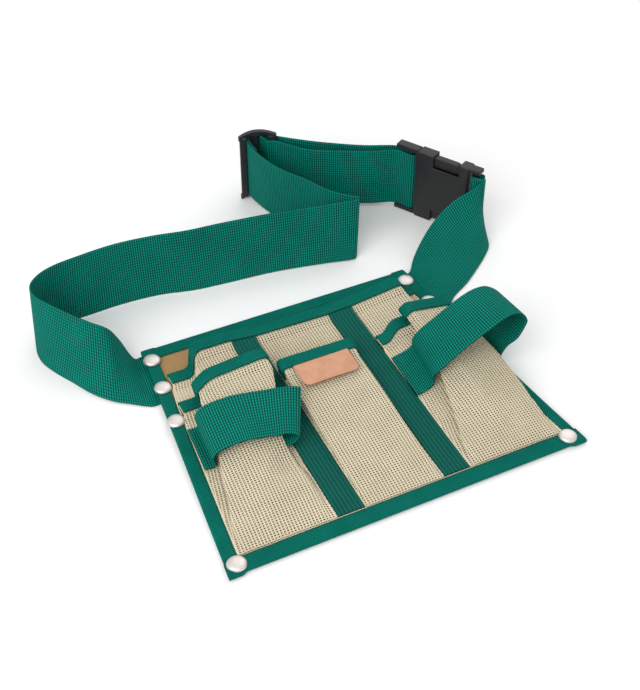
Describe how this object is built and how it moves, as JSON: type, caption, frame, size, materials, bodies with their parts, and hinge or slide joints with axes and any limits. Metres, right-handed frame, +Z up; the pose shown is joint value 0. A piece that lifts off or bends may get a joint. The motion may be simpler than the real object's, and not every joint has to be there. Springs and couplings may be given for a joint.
{
  "type": "tool belt",
  "caption": "Panel tool belt with open mesh pockets, webbing tool loops, domed rivets and a waist strap with slider and side release buckle, lying on a surface.",
  "frame": {"origin": "middle of the bounding box, on the surface that the belt lies on", "axes": "+X to the wearer's right along the panel's lower edge, +Y up the panel to the waist strap, +Z up from the surface"},
  "size_m": [0.3588, 0.3668, 0.0604],
  "materials": {
    "tan_cloth": "plain woven tan lining",
    "green_binding": "matt green twill tape",
    "green_webbing": "ribbed green webbing with a slight sheen",
    "cream_mesh": "open coated mesh weave",
    "label_leather": "natural smooth grain",
    "rivet_nickel": "polished nickel",
    "black_plastic": "fine matt moulded texture"
  },
  "bodies": {
    "root": {"back_panel": "tan_cloth", "binding_left": "green_binding", "binding_right": "green_binding", "binding_top": "green_binding", "binding_bottom": "green_binding", "back_pocket": "cream_mesh", "back_pocket_binding": "green_binding", "left_pocket": "cream_mesh", "left_pocket_binding": "green_binding", "centre_pocket": "cream_mesh", "centre_pocket_binding": "green_binding", "leather_label": "label_leather", "right_pocket": "cream_mesh", "right_pocket_binding": "green_binding", "strip_left": "green_webbing", "strip_right": "green_webbing", "loop_left": "green_webbing", "loop_right": "green_webbing", "rivet_left_top": "rivet_nickel", "rivet_left_middle": "rivet_nickel", "rivet_left_low": "rivet_nickel", "rivet_left_corner": "rivet_nickel", "rivet_right_top": "rivet_nickel", "rivet_right_middle": "rivet_nickel", "rivet_right_low": "rivet_nickel", "rivet_right_corner": "rivet_nickel", "belt_left": "green_webbing", "belt_right": "green_webbing", "slider": "black_plastic", "buckle_male": "black_plastic", "buckle_female": "black_plastic"}
  },
  "joints": []
}
